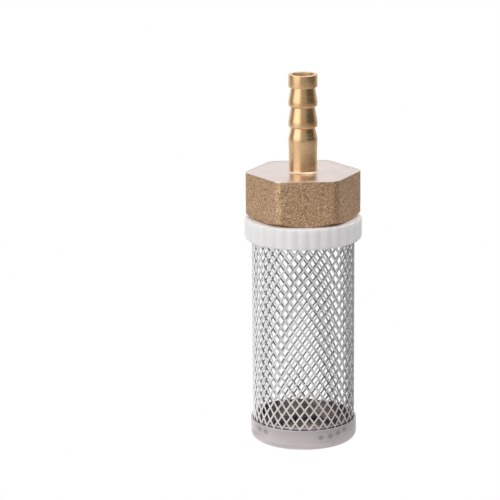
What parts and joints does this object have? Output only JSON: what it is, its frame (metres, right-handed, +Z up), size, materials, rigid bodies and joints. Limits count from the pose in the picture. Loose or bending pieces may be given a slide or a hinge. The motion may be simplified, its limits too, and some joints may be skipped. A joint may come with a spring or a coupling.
{
  "type": "foot valve",
  "caption": "Foot valve with a brass hose barb on a hexagonal body, a ribbed plastic collar with a spring poppet inside, and a diamond-mesh strainer basket.",
  "frame": {"origin": "on the floor under the centre line, at the middle of the bottom cap's underside", "axes": "+Z up along the centre line, from the bottom cap to the barb's tip; -Y is the front"},
  "size_m": [0.0264, 0.0264, 0.084],
  "materials": {
    "brass": "machined and sand-cast",
    "seat_brass": "turned",
    "gasket_rubber": "matte",
    "collar_plastic": "moulded, satin",
    "poppet_plastic": "moulded, satin",
    "mesh_steel": "expanded stainless",
    "cap_steel": "drawn stainless, satin",
    "spring_steel": "drawn stainless wire"
  },
  "bodies": {
    "strainer": {"strainer_collar": "collar_plastic", "strainer_mesh": "mesh_steel", "bottom_cap": "cap_steel", "clamp_ring": "cap_steel", "valve_seat": "seat_brass", "seat_oring": "gasket_rubber", "check_spring": "spring_steel", "spring_retainer": "poppet_plastic"},
    "poppet": {"poppet": "poppet_plastic", "poppet_seal": "gasket_rubber"},
    "gasket": {"body_gasket": "gasket_rubber"},
    "body": {"valve_body": "brass"}
  },
  "joints": [
    {"name": "poppet_lift", "type": "slide", "parent": "strainer", "child": "poppet", "axis": [0, 0, 1], "range_m": [0, 0.002], "stiffness_N_per_m": 120, "springref_m": -0.002, "deforming": ["check_spring"]},
    {"name": "body_lift", "type": "slide", "parent": "strainer", "child": "gasket", "axis": [0, 0, 1], "range_m": [0, 0.00726]},
    {"name": "body_turn", "type": "hinge", "parent": "gasket", "child": "body", "pos_m": [0, 0, 0.0517], "axis": [0, 0, 1], "range_deg": [0, 1440]}
  ],
  "couplings": [
    {"joint": "body_lift", "follows": "body_turn", "m_per_rad": 0.00028871}
  ]
}
